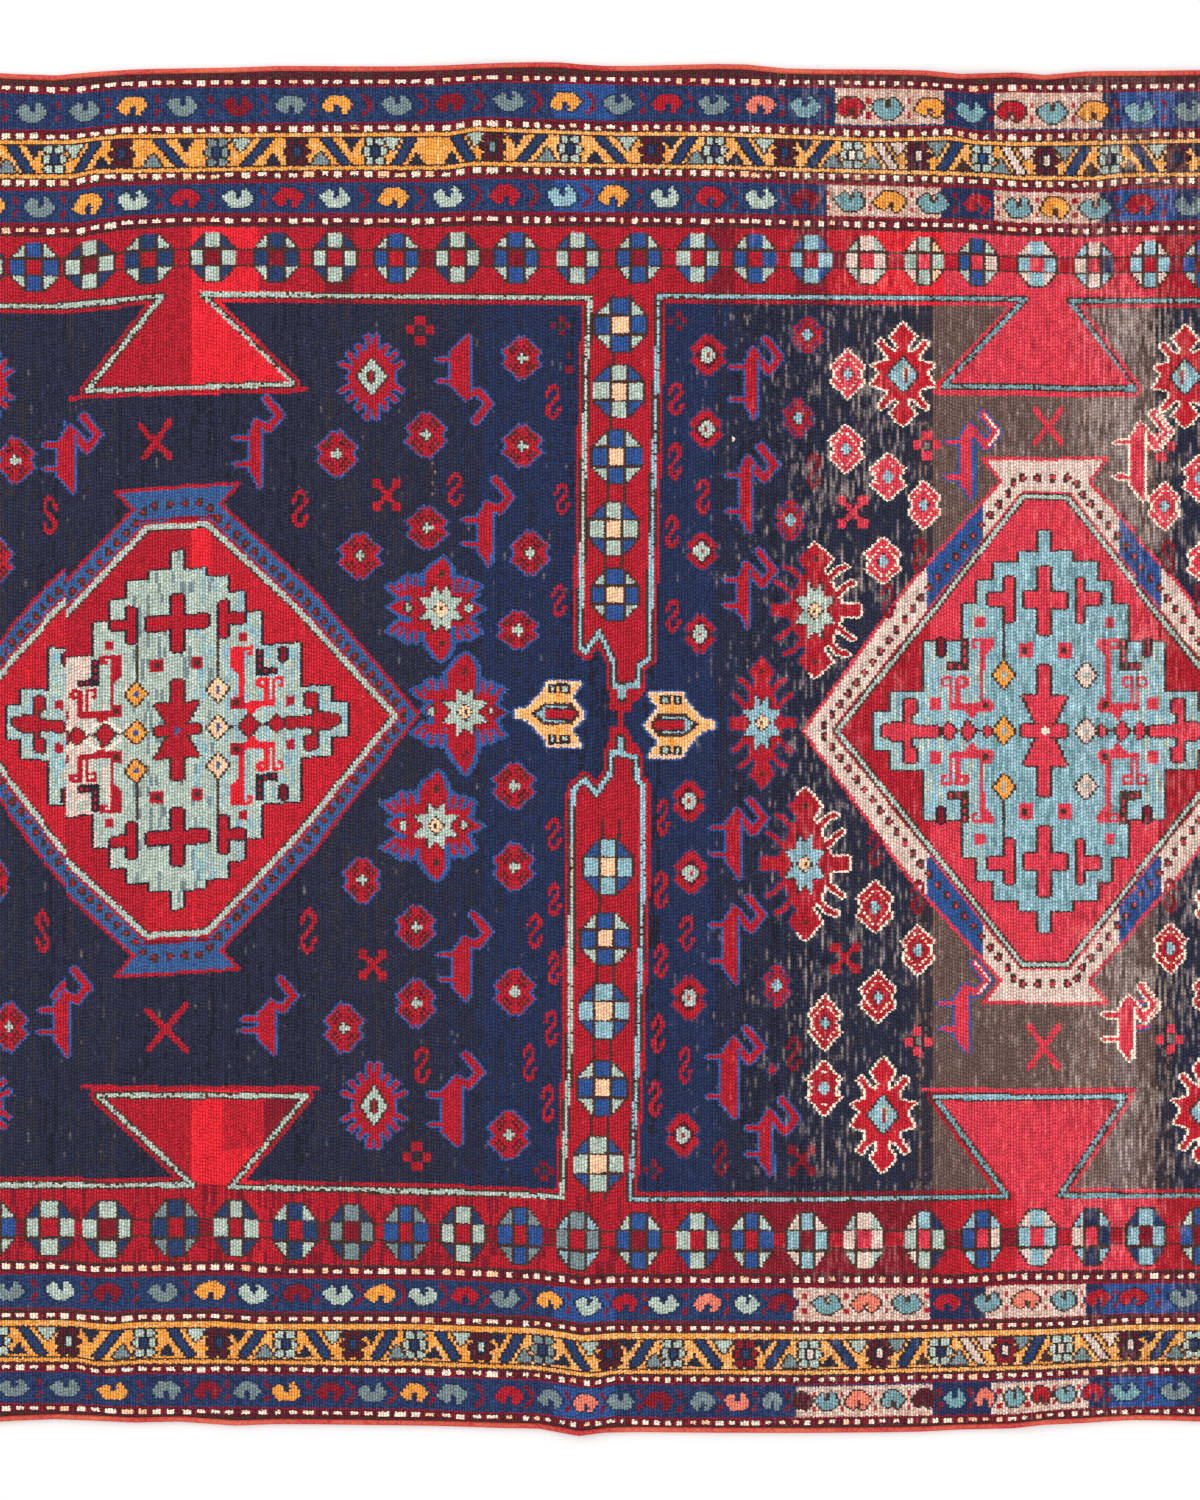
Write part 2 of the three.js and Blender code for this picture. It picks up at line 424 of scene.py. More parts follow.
# The middle line: links, an arm to each side with its hooks, and a star
paint("cream", [(3, [(-122, 12), (-108, 9), (-94, -2), (-82, 10), (-68, 12), (-56, 2)]),
                (3, [(-122, -15), (-108, -12), (-94, -3), (-82, -13), (-68, -15), (-56, -5)])], **left)
arm = mirrored([block(108, 141, -5, 5), block(137, 153, -8, 8), block(151, 163, -5, 5)], both_sides)
arm += mirrored([block(130, 141, 15, 28), block(136, 141, 6, 16)])
star = mirrored([block(-5.5, 5.5, 0, 50), (0, [(-22, 27), (22, 27), (9, 6), (-9, 6)])], both_ends)
star += [block(-22, 22, -5, 5)]
for place, wool, diamonds, gem, golds, star_height, speck in (
        (left, "crimson", ((72, 19, 24), (100, 18, 18)), 38,
         (("gold", "sky"), ("peach", "sky")), 1, "sky"),
        (right, "rose", ((57, 9, 12), (77, 13, 20), (96, 13, 18)), 50,
         (("gold", "ice"), ("blush", "sage")), 1.3, "cream")):
    paint("umber", mirrored([(2.4, [(48, 0), (108, 0)])], both_sides), **place)
    for x, wide, high in diamonds:
        paint(wool, mirrored([lozenge(x, 0, wide, high)], both_sides), rim="umber", **place)
    paint(wool, arm, rim="umber", **place)
    paint("umber", mirrored([(2.4, [(41, gem), (41, gem + 50)])]), **place)
    for x, (gold, middle) in zip((-41, 41), golds):
        paint(gold, [lozenge(x, y, 21, 24) for y in (-gem, 0, gem)], rim="umber", **place)
        paint(middle, [lozenge(x, y, 6, 9) for y in (-gem, 0, gem)], **place)
    paint(wool, star, rim="umber", **{**place, "size": (1, star_height)})
    paint(speck, [blob(0, 0, 7, 4), blob(0, 0, 3.4, 9)], **place)

# Two gold vases on the middle line
vase = [(36, 0), (29, 10), (22, 17), (28, 24), (33, 33), (-3, 33), (-7, 24), (-15, 15), (-24, 6), (-34, 5)]
vase += [(px, -py) for px, py in reversed(vase)]
pit = [(-19, 0), (-12, 6), (-6, 11), (22, 11), (29, 2), (29, -2), (22, -11), (-6, -11), (-12, -6)]
for at, flip in (((-65, 35), 1), ((65, 24), -1)):
    place = {"at": at, "size": (flip, 1)}
    paint("peach", [(0, vase)], rim="rim", **place)
    paint("apricot", [(0, vase)], at=at, size=(0.86 * flip, 0.88))
    paint("gold", [lozenge(8, 17, 8, 15), lozenge(8, -17, 8, 15)], **place)
    for dy in (25, -25):
        paint("coal", [blob(3, dy, 9, 9), blob(15, dy, 9, 9), blob(9, dy * 1.16, 20, 3)], **place)
        paint("sage", [blob(3, dy, 4, 4.5), blob(15, dy, 4, 4.5)], **place)
    paint("umber", [(0, pit)], **place)
    paint("ice", [(0, pit)], at=at, size=(0.72 * flip, 0.72))
    paint("coal", [lozenge(-15, 0, 8, 8), block(-6, 22, -6, 6)], **place)
    paint("crimson", [block(-6, 22, -4.6, 4.6), lozenge(22, 0, 9, 9)], **place)

# Rosettes of the field, with slanting strokes or knots and a heart
lobed = whole([(0, 0.82), (0.16, 0.97), (0.54, 0.63), (1, 0.3), (0.73, 0)])
pointed = whole([(0, 1.05), (0.34, 0.79), (0.62, 0.61), (1, 0.37), (0.72, 0)])


def strokes(wool, reach, wide, **place):
    """Four slanting strokes, one in each quarter of a rosette."""
    start, end = (reach * 0.25, reach * 0.72), (reach * 0.68, reach * 0.28)
    paint(wool, mirrored([(wide, [start, end])]), **place)


def heart(at, dark, wide, high, pale, *sizes):
    """A dark lozenge with pale blocks across it."""
    paint(dark, [lozenge(0, 0, wide, high)], at=at)
    paint(pale, [blob(0, 0, *size) for size in sizes], at=at)


for x, y, wide, high in [
        (-93, 391, 19, 22), (-278, 295, 20, 24), (-189, 314, 20, 24), (-93, 303, 20, 22),
        (-188, 221, 20, 23), (-255, 193, 21, 24), (-85, 196, 19, 23), (-97, 119, 20, 20),
        (-101, -37, 21, 24), (-253, -131, 18, 24), (-101, -118, 20, 25), (-199, -178, 19, 23),
        (-199, -254, 19, 25), (-100, -243, 20, 25), (-271, -279, 19, 26), (-106, -386, 20, 26)]:
    place = {"at": (x, y), "size": (wide, high)}
    paint("crimson", [(0, lobed)], rim="rim", **place)
    strokes("umber", 1.0, 2.4, **place)
    strokes("maroon", 0.7, 2.2, **place)
    heart((x, y), "umber", 15, 17, "sage", (3.6, 11), (11, 4.4))
for x, y, wide, high in [(93, 394, 18, 22), (91, 320, 17, 21), (87, 198, 16, 20), (85, 115, 16, 20),
                         (74, -52, 17, 22), (76, -124, 17, 23), (74, -249, 17, 24), (68, -386, 17, 24)]:
    paint("crimson", [(0, lobed)], at=(x, y), size=(wide, high), rim="blue")
    heart((x, y), "maroon", 25, 29, "sage", (6, 17), (16, 7), (11, 12))
    paint("crimson", [blob(x, y, 3.6, 5)])
for x, y, wide, high in [(193, 414, 16, 20), (183, 331, 15, 21), (175, 229, 15, 22), (162, -237, 14, 23)]:
    place = {"at": (x, y), "size": (wide, high)}
    paint("crimson", [(0, lobed)], rim="blue", **place)
    strokes("blue", 0.95, 2.4, **place)
    heart((x, y), "umber", 15, 18, "ice", (5, 12), (10, 5))
for x, y, wide, high in [(233, 375, 16, 23), (231, 300, 16, 23), (273, 272, 16, 23), (309, 244, 15, 23),
                         (268, 188, 17, 22), (210, -274, 15, 26), (209, -339, 16, 26),
                         (260, -158, 17, 25), (303, -201, 15, 24), (263, -248, 17, 24)]:
    paint("crimson" if x + y < 120 else "rose", [(0, pointed)], at=(x, y), size=(wide, high), rim="cream")
    for k in range(4):
        knot = blob(2.6 + 2.9 * k, 0.64 * high - 3.4 * k, 2.6, 1.9)
        for side in (-1, 1):
            wool = "cream" if (k + side) % 3 else "peach"
            paint(wool, mirrored([knot], ((side, 1), (side, -1))), at=(x, y))
    heart((x, y), "umber", 13, 17, "ice", (4.5, 12), (9, 5))

# Small hooks, groups of squares and crosses
curl = [(-0.75, 0.35), (-0.35, 0.8), (0.1, 0.95), (0.55, 0.7), (0.6, 0.35), (0, 0)]
curl += [(-px, -py) for px, py in reversed(curl[:-1])]
for x, y, wide, high in [
        (-315, 240, 9, 19), (-62, 347, 9, 17), (-160, 260, 9, 16), (-53, 250, 8, 15), (-56, 148, 8, 16),
        (-61, -85, 8, 16), (-61, -151, 7, 16), (-80, -182, 8, 17), (-61, -219, 7, 16), (-64, -279, 7, 18),
        (-86, -314, 7, 18), (-193, -316, 9, 18), (-67, -355, 7, 18), (-307, -182, 10, 22),
        (61, 350, 9, 16), (60, 288, 8, 18), (88, 253, 8, 17), (57, 217, 8, 16), (58, 133, 8, 16),
        (48, -68, 7, 18), (46, -141, 8, 18), (72, -184, 8, 17), (46, -212, 7, 17), (43, -285, 7, 19),
        (70, -316, 7, 18), (40, -350, 7, 18)]:
    paint("crimson", [(3.9, curl)], at=(x, y), size=(wide, high))
for x, y in [(106, -409), (199, 278), (273, 148), (305, 193), (260, -100), (303, -148), (179, -305)]:
    paint("wine", [(4, curl)], at=(x, y), size=(8, 17))
for wool, reach, size, places in (
        ("crimson", 10, 9, ((-195, 419), (-198, -408))), ("rose", 10, 9, ((312, 304), (303, -293))),
        ("wine", 7, 6, ((-54, 423), (63, 428), (38, -421), (-71, -422)))):
    for x, y in places:
        paint(wool, mirrored([blob(0, reach, size, size), blob(reach, 0, size, size)]), at=(x, y))
        paint("grey" if x > 100 else "umber", [blob(x, y, size * 0.6, size * 0.8)])
for x, y, wool in [(-228, 254, "crimson"), (238, 237, "rose"), (-242, -216, "crimson"),
                   (230, -209, "crimson"), (187, -411, "wine")]:
    paint(wool, mirrored([blob(10, 11, 9, 9), (5, [(0, 0), (9, 10)])]), at=(x, y))
for wool, lines in (
        ("crimson", (((-475, 323), (-445, 292)), ((-470, 292), (-445, 328)), ((-467, -262), (-428, -302)),
                     ((-429, -256), (-466, -300)))),
        ("rose", (((420, 340), (447, 306)), ((420, 306), (447, 340)), ((415, -278), (443, -318)),
                  ((415, -318), (443, -278))))):
    paint(wool, [(6, line) for line in lines])


# Animals: a body with a pointed end, two feet and a hooked neck, held low or high
necks = {"low": [(-3, -4), (13, 15), (24, 1), (10, -17)], "high": [(-4, -4), (8, 1), (19, -12), (5, -29)]}


def animal(right, head, tail, wide, neck, rim="rim", wool="crimson"):
    way = 1 if tail > head else -1
    long = abs(tail - head)
    place = {"at": (right, head), "size": (1, way)}
    body = [(-wide, 7), (-wide, long - 2), (5 - wide, long + 3), (-1, long + 15), (0, long), (0, 0),
            (2, -3), (-4, -9)]
    legs = [(4, [(-wide - 13, along), (2 - wide, along)]) for along in (11, long - 10)]
    paint(wool, [(0, body), (7, necks[neck])] + legs, rim=rim, **place)
    paint(rim, [(2.2, [(1.6, 2), (2.4, long + 8)])], **place)
    if wool == "rose":
        paint("cream", [(1.8, [(out + 2, along) for out, along in necks[neck][1:]])], **place)


for right_side, head, tail, wide, neck in (
        (-354, 322, 275, 12, "high"), (-145, 357, 400, 19, "high"), (-124, 240, 195, 13, "high"),
        (141, 393, 340, 11, "low"), (136, 285, 228, 11, "low"), (134, 180, 133, 10, "low"),
        (358, 318, 262, 13, "low"), (125, -68, -115, 14, "low"), (123, -165, -222, 14, "low"),
        (122, -297, -358, 15, "low"), (157, -368, -415, 12, "low"), (354, -243, -290, 15, "high"),
        (-154, -335, -385, 19, "high"), (-146, -195, -240, 16, "high"), (-340, -259, -291, 18, "high")):
    animal(right_side, head, tail, wide, neck, wool="rose" if right_side > 300 else "crimson")

# Sunbursts: a pale diamond with prongs all round, or with a cream-edged burst
glow = whole([(0, 1.7), (0.8, 1.2), (1.35, 0.62), (1.6, 0)])
prongs = mirrored([(4.6, [(px * 0.3, py * 0.3), (px, py)]) for px, py in ((4.4, 41), (14, 31), (23, 23),
                                                                         (30, 13))])
for at, wide, high in (((-243, 372), 15, 19), ((-241, -357), 13, 20)):
    paint("crimson", [(0, [(wide * px, high * py) for px, py in glow])] + prongs, at=at, rim="rim")
    paint("sage", [lozenge(0, 0, 2 * wide, 2 * high)], at=at, rim="umber")
    paint("crimson", [blob(0, 0, 3, 12)], at=at, rim="umber")
burst = whole([(0, 1), (0.38, 0.74), (0.14, 0.54), (0.2, 0.43), (0.42, 0.5), (0.68, 0.68), (0.78, 0.6),
               (0.5, 0.38), (0.5, 0.28), (1, 0.2), (0.72, 0.05)])
for at, size in (((288, 374), (32, 52)), ((268, -366), (32, 58))):
    paint("scarlet", [(0, burst)], at=at, size=size, rim="cream")
    paint("ice", [lozenge(0, 0, size[0] * 0.92, size[1] * 0.68)], at=at, rim="umber")
    paint("sage", [lozenge(3, 4, 12, 20)], at=at)
    paint("crimson", [blob(2, 0, 2.7, 15)], at=at)

# Stars: an eight-pointed pale star with a peach heart, set in hooks or petals
star = whole([(0, 0.64), (0.3, 0.97), (0.37, 0.46), (0.9, 0.44), (0.52, 0)])
hooks = [(0, whole([(0, 0.72), (0.3, 0.5), (0.6, 0.1), (0.6, 0)])), block(-1, 1, -0.09, 0.09)]
hooks += mirrored([
    (0, [(0, 1), (0.38, 0.76), (0.16, 0.56), (0, 0.5)]),
    (5, [(0.3, 0.46), (0.5, 0.6), (0.68, 0.64)]), (5, [(0.5, 0.24), (0.7, 0.36), (0.84, 0.41)])])


def medal(at, wool, wide, high):
    paint("umber", [(2.4, closed(star))], at=at, size=(wide, high))
    paint("umber", [(0, star)], at=at, size=(wide + 2.4, high + 2.4))
    paint(wool, [(0, star)], at=at, size=(wide, high))
    heart(at, "umber", 18, 20, "peach", (11, 6), (6, 12))
    paint("peach", [lozenge(0, 0, 14, 16)], at=at)
    paint("umber", [blob(0, 0, 3, 4)], at=at)


for at, (wide, high), wool, right_rim, star_size in (
        ((147, 26), (34, 68), "ice", "blue", (21, 28)),
        ((200, 138.5), (45, 68), "sage", "cream", (22, 29)),
        ((190, -115), (44, 77), "ice", "cream", (22, 31))):
    part, mask = paint("crimson", hooks, at=at, size=(wide, high), rim="blue")
    rim_mask = grown(mask) & ~mask & (X[part[0]] > at[0] - 0.2 * wide)
    chart[part][rim_mask] = ink[right_rim]
    paint("umber", [lozenge(0, 0.76 * high, 6, 7), lozenge(0, -0.76 * high, 6, 7)], at=at)
    medal(at, wool, *star_size)

strands = mirrored([
    (4, [(-17, 15), (-38, 15)]), (4.4, [(-17, 20), (-34, 19)]), (3.6, [(-24, 19), (-25, 31)]),
    (3.6, [(-31, 17), (-34, 31)]), (3.6, [(-36, 15), (-42, 25)]), (3.6, [(-40, 13), (-50, 22)]),
    (4.6, [(12, 15), (32, 14)]), (3.6, [(16, 17), (18, 29)]), (3.6, [(22, 17), (27, 28)]),
    (3.6, [(28, 14), (36, 23)])], both_ends)
for at, out_left, out_right, low, top in (((-174, 140), 52, 43, 53, 51), ((-150, 37), 41, 42, 61, 60),
                                          ((-179, -77), 48, 47, 55, 54)):
    petals = [
        [(-16, 10), (-16, 0.66 * top), (-9, 0.84 * top), (2, top), (9, 0.82 * top), (11, 0.6 * top),
         (11, 10)],
        [(-16, -10), (-16, -0.58 * low), (-9, -0.8 * low), (1, -low), (9, -0.76 * low), (11, -10)],
        [(-out_left, 2), (-0.8 * out_left, 9), (-24, 8), (-22, -8), (-0.72 * out_left, -7)],
        [(out_right, 0), (28, 9), (22, 12), (22, -12), (28, -9)]]
    part, mask = cover([(0, petal) for petal in petals] + [block(-30, 30, -13, 13)] + strands, at=at)
    chart[part][grown(grown(mask))] = ink["rim"]
    chart[part][mask] = ink["crimson"]
    for dx in (-33, 28):
        paint("umber", [lozenge(dx, 1, 12, 16)], at=at)
        paint("sage", [blob(dx, 1, 6.5, 5), blob(dx, 1, 3.5, 9)], at=at)
    for dy in (0.7 * top, -0.66 * low):
        paint("umber", [blob(1, dy, 4, 5), blob(-2, dy - 3, 3, 3)], at=at)
    medal(at, "sage", 25, 24)

# Stray tufts, where the weaver or a mender put other wool
paint("wine", [(0, [(-122, 46), (-108, 37), (-122, 28)]), blob(-46, 393, 5, 7), blob(-46, 379, 6, 8)])
paint("crimson", [lozenge(157, -321, 9, 12)], rim="blue")
paint("cream", [blob(119, 310, 4, 5)])
for k in range(7):
    paint("umber" if k % 2 else "earth", [blob(-182 + (k % 3) - 1, 286 - 5 * k, 2.8, 3.5)])

# The field past the photo's sides repeats the seen field, turned about each medallion
for first, last, source in ((-830, -549, lambda x: -332 + (-549 - x) * 288 / 267),
                            (520, 830, lambda x: 338 - (x - 520) * 0.993)):
    for row in np.flatnonzero((row_x > first) & (row_x < last)):
        chart[row] = chart[np.abs(row_x - source(row_x[row])).argmin()]
animal(-541, 315, 270, 15, "low")
animal(-546, -250, -293, 15, "high")
animal(529, 318, 262, 14, "low", rim="cream", wool="rose")
animal(517, -255, -300, 14, "low", rim="cream", wool="rose")

# The line round the field, with two triangles on each long side and a bar from
# each side towards the middle
far_line = [
    (-1100, 443), (-549, 443), (-453, 453), (-528, 358), (-322, 365), (-413, 455), (-25, 451), (-29, 380),
    (-35, 102), (-29, 97), (-16, 117), (-2, 88), (-1, 64), (22, 63), (25, 85), (35, 91), (36, 185),
    (44, 453), (410, 450), (329, 363), (519, 360), (455, 448), (1100, 448)]
near_line = [
    (1100, -445), (445, -447), (510, -348), (320, -348), (392, -447), (200, -450), (15, -450), (22, -320),
    (28, -130), (28, -37), (22, -30), (21, -9), (-3, -2), (-5, -25), (-19, -45), (-30, -30), (-41, -40),
    (-43, -60), (-45, -300), (-53, -448), (-160, -443), (-384, -438), (-309, -347), (-518, -346),
    (-422, -436), (-1100, -437)]
outline = far_line + near_line


def along_rug(marks):
    """Wools that change along the rug, for the whole chart."""
    at = np.searchsorted([mark for mark, _ in marks], row_x, side="right") - 1
    return np.array([ink[marks[k][1]] for k in at], np.uint8)[:, None].repeat(2 * knots, 1)


border_red = along_rug([
    (-1100, "crimson"), (-424, "red"), (-358, "crimson"), (-290, "wine"), (-262, "crimson"), (90, "wine"),
    (120, "crimson"), (180, "wine"), (212, "scarlet"), (255, "red"), (330, "rose"), (540, "crimson")])
near_red = along_rug([(-1100, "crimson"), (-388, "scarlet"), (-350, "crimson"), (105, "wine"),
                      (318, "crimson"), (345, "scarlet"), (400, "rose"), (540, "crimson")])
near_side = (plan[1] < 0) & ((plan[1] < -440) | (X > 150))
border_red[near_side] = near_red[near_side]
streaks = np.repeat(random.random((rows, knots // 6)), 12, axis=1)
border_red[near_side & (X < 105) & (streaks < 0.3)] = ink["wine"]
x, y = fine_field
beyond = ~inside(outline, *field)
far_off = away(outline, x, y)
edge_red = beyond | (far_off < 7.4)
chart[edge_red] = border_red[edge_red]
chart[far_off < 3.9] = ink["umber"]
pale = (far_off < 2.1) & (random.random(chart.shape) < 0.9)
chart[pale] = along_rug([(-1100, "sage"), (0, "ice"), (300, "teal")])[pale]
for wool, wide, points in (
        ("ice", 4, [(-35, 190)] + far_line[8:17]),
        ("ice", 4, [(320, -348), (510, -348)]), ("crimson", 5, [(5.5, 40), (5.5, 20)]),
        ("crimson", 0, [(-8, 62), (-4, 48), (-6, 39), (16, 37), (17, 46), (23, 48), (30, 59)]),
        ("crimson", 0, [(-10, -2), (-6, 8), (-6, 23), (10, 23), (16, 13), (17, 7), (21, 7), (27, -5)]),
        ("umber", 10, [(7, 62), (7, 51)]), ("ice", 6, [(7, 62), (7, 52)]),
        ("ice", 4.4, [(-1, 62), (24, 63)]), ("umber", 10, [(5, -3), (5, 10)]),
        ("ice", 6.4, [(5, -3), (5, 9)]), ("ice", 4.4, [(28, -90)] + near_line[9:18] + [(-43, -90)]),
        ("crimson", 4, [(-545, 350), (-528, 352), (-430, 358), (-322, 358), (-309, 360)]),
        ("crimson", 4, [(-534, -338), (-430, -339), (-298, -339)]),
        ("rose", 4, [(320, 356.5), (430, 355), (519, 353)]), ("rose", 4, [(308, -341), (519, -341)]),
        ("red", 0, [(-424, 369), (-326, 368), (-410, 449), (-424, 449)]),
        ("scarlet", 0, [(-394, -351), (-351, -351), (-351, -398), (-394, -402)]),
        ("wine", 0, [(-350, -351), (-318, -351), (-350, -392)]),
        ("rose", 0, [(336, 367), (516, 365), (455, 443), (410, 445)]),
        ("rose", 0, [(326, -352), (504, -352), (442, -444), (398, -444)])):
    paint(wool, [(wide, points)])


# Wheels: eight-sided, of nine patches. The wools of the arms and of the corners go
# clockwise from the top, joined by strokes; a single one is for all four
def wheel(at, arms, corners, middle="crimson", turn=0, size=(23, 24.5), on=fine_plan):
    place = {"at": at, "turn": turn, "on": on}
    wide, high = size
    out_x, out_y = 1.08 * wide, 1.06 * high
    octagon = whole([(0, out_y), (0.38 * out_x, out_y), (out_x, 0.38 * out_y), (out_x, 0)])
    paint("umber", [(0, octagon)], **place)
    mx, my = 0.31 * wide, 0.31 * high
    nx, ny = 0.43 * wide, 0.42 * high
    paint(middle, [block(-mx, mx, -my, my)], **place)
    spans = [block(-mx, mx, ny, high), block(nx, wide, -my, my), block(-mx, mx, -high, -ny),
             block(-wide, -nx, -my, my)]
    for wool, span in zip(arms.split("/") * 4, spans):
        paint(wool, [span], **place)
    corner = [(nx, high * 0.94), (wide * 0.94, ny), (nx, ny)]
    for wool, way in zip(corners.split("/") * 4, ((1, 1), (1, -1), (-1, -1), (-1, 1))):
        paint(wool, mirrored([(0, corner)], [way]), **place)


for x, y in ((7, 458), (6, 391), (3, 325), (1, 256), (-1, 188), (-4, -84), (-8, -154), (-10, -226),
             (-12, -300), (-15, -377), (-18, -448)):
    paint("umber", [(2.4, [(x + dx, y + 11), (x + dx, y - 11)]) for dx in (-8, 8)])
    paint("crimson", [blob(x, y, 12, 16)])
for x, y, wide, high, arms, corners in (
        (6, 424, 25, 26, "azure", "sage"), (4, 358, 25, 26, "sage", "azure"),
        (2, 292, 24.5, 26, "azure", "sage"), (-1, 220, 24, 26, "sage", "azure"),
        (0, 154, 23, 25, "azure", "sage"), (-7, -118, 24, 27, "ice", "azure"),
        (-9, -190, 24, 26, "azure", "sage"), (-11, -262, 24, 27, "ice", "azure"),
        (-13, -339, 24, 27, "azure", "sage"), (-17, -415, 24, 27, "sage", "azure")):
    wheel((x, y), arms, corners, middle="peach", size=(wide, high), on=fine_field)

# The borders, by their depth from the field: a red one of wheels, a blue one of
# leaves, a yellow one of flowers and a second blue one, with maroon lines between
depths = {"far": (453, 528, 574, 620.5, 669.5, 677), "near": (442, 524, 571.5, 623.5, 668, 677),
          "end": (816, 895, 942, 991, 1038, 1045)}
usual = (0, 79, 126, 175, 222, 229)
end_depth = np.interp(np.abs(X), depths["end"], usual, left=-99)
far_depth = np.interp(tuft_level, depths["far"], usual, left=-99)
near_depth = np.interp(-tuft_level, depths["near"], usual, left=-99)
side_depth = np.maximum(far_depth, near_depth)[None, :].repeat(rows, 0)
depth = np.maximum(end_depth, side_depth)
at_side = side_depth >= end_depth


def depth_level(side, deep):
    """The plan's level at a depth of one long side's border."""
    return (1 if side == "far" else -1) * np.interp(deep, usual, depths[side])


def band(low, high, wool, where=True):
    mask = (depth >= low) & (depth < high) & where
    chart[mask] = wool[mask] if isinstance(wool, np.ndarray) else ink[wool]


for low, high, wool in ((-10, -5, "crimson"), (-5, 4, "umber"), (-2.5, 2, "sage")):
    band(low, high, wool, (end_depth > side_depth) | (end_depth > -5) & (side_depth > -5) & ~at_side)
band(4, 72, border_red)
for low, high, wool in (
        (72, 86, "maroon"), (118, 132, "maroon"), (169, 181, "maroon"), (215, 229, "maroon"),
        (72, 74.5, "umber"), (74.5, 76, "maroon"), (83, 86, "wine"), (118, 121, "wine"),
        (121, 122.6, "umber"), (129.6, 132, "umber"), (169, 172, "umber"), (179, 181.5, "wine"),
        (214.5, 217, "wine"), (86, 118, "blue"), (181, 215, "blue"), (131.6, 170.4, "gold"),
        (135.4, 136.9, "umber"), (165.1, 166.6, "umber")):
    band(low, high, wool)
pale_spans = {
    ("far", 102): ((212, 327), (380, 485)), ("far", 198): ((220, 330), (380, 487)),
    ("near", 102): ((178, 315), (370, 470)), ("near", 198): ((180, 318), (375, 475))}
for (side, deep), spans in pale_spans.items():
    (start, stop), (again, last) = spans
    wools_along = along_rug([(-1100, "blue"), (-60, "azure"), (0, "blue"), (start, "blush"),
                             (stop, "deep"), (again, "blush"), (last, "deep"), (last + 17, "azure"),
                             (560, "blue")])
    band(deep - 16, deep + 16 + (deep > 150), wools_along, at_side & ((plan[1] > 0) == (side == "far")))
flecks = np.repeat(random.random((rows, knots)), 2, axis=1)
chart[(chart == ink["blue"]) & (depth > 86) & (flecks < np.where(depth > 180, 0.36, 0.16))] = ink["deep"]
chart[(chart == ink["blush"]) & (depth > 86) & (flecks < np.where(plan[1] > 0, 0.75, 0.4))] = ink["tan"]
chart[(chart == ink["gold"]) & (depth > 131) & (flecks < np.where(X < -100, 0.25, 0.6))] = ink["apricot"]
band(224.5, 229, "umber", flecks < 0.45)


# Cream knots in the maroon lines, in step on all the lines of a side
def cream_knot(x, y, dx, dy, wide, high, wine_wide, wine_high):
    paint("wine", [blob(x + dx, y + dy, wine_wide, wine_high)], on=fine_plan)
    paint("cream" if random.random() < 0.75 else "peach", [blob(x, y, wide, high)], on=fine_plan)


dashes = []
x = -1040.0
while x < 1040:
    dashes.append((x, 5 + 2 * random.random() + 2.5 * (x < -100)))
    x += (11 if x > -100 else 13.6) + 3.4 * random.random()
for deep in (79, 126, 175, 220.5):
    end_x = np.interp(deep, usual, depths["end"])
    for side in ("far", "near"):
        for x, wide in dashes:
            if abs(x) < end_x - 4:
                y = depth_level(side, deep) + 1.2 * (random.random() - 0.5)
                cream_knot(x, y, 7, 0, wide, 4.4, 4, 4.5)
    y = depth_level("near", deep) + 5
    while y < depth_level("far", deep) - 5:
        for x in (-end_x, end_x):
            cream_knot(x, y, 0, 7, 5, 7.6, 4.5, 4)
        y += 14.3 + 2 * random.random()


def onward(last, corner, pitch):
    """Even places from the last seen motif to a corner, the corner's own included."""
    count = max(round(abs(corner - last) / pitch), 1)
    return [last + (corner - last) * (k + 1) / count for k in range(count)]


def completed(seen, corner, pitches, kinds, starts=(0, 0)):
    """A seen row of motifs, carried on to both corners in a repeat of kinds."""
    added = []
    for last, end, pitch, start in zip((seen[0], seen[-1]), (-corner, corner), pitches, starts):
        places = onward(last[0], end, pitch)
        added.append([(x, *kinds[(k + start) % len(kinds)]) for k, x in enumerate(places)])
    return added[0][::-1] + seen + added[1]


def spot(along, across, turn):
    """A place on a border, along a side of the rug, or along an end if turned."""
    return {"at": (across, along) if turn else (along, across), "turn": turn, "on": fine_plan}


# Wheels of the red border, each joined to the next by two lines and a square
def links(places, across, turn):
    for a, b in zip(places, places[1:]):
        half = (b - a) / 2
        place = spot(a + half, across, turn)
        paint("umber", [block(-half, half, 7.4, 9.4), block(-half, half, -9.4, -7.4)], **place)
        paint("wine" if int(a) % 3 == 1 else "crimson", [block(20 - half, half - 20, -6.8, 6.8)], **place)


wheels = {
    "far": (
        (-525, -466, -402, -339, -280, -218, -158, -99, -37, 24, 83, 140, 196, 252, 309, 363, 422, 479,
         535),
        "sage blue sage blue sage azure sage azure sage azure sage azure ice blush sage "
        "azure/blush/azure/azure ice blush/deep/blush/blush ice",
        "blue sage blue sage blue sage blue sage azure sage azure sage azure sage "
        "peach/peach/blush/blush sage blush ice blush"),
    "near": (
        (-507.5, -440, -379, -320, -264, -209, -152, -95, -37, 24, 83, 137, 192, 249, 310, 367, 422, 477,
         531),
        "sage blue sage blue smoke azure sage azure smoke azure sage azure ice blush "
        "ice/sage/sage/sage azure/blush/azure/azure ice deep/deep/deep/blush ice",
        "blue smoke blue sage blue smoke blue smoke ice sage azure sage blush sage "
        "deep/deep/blush/blush ice blush ice blue"),
}
wheel_kinds = (("azure", "sage"), ("sage", "blue"))
corner_x, corner_far, corner_near = 856, 491, -484
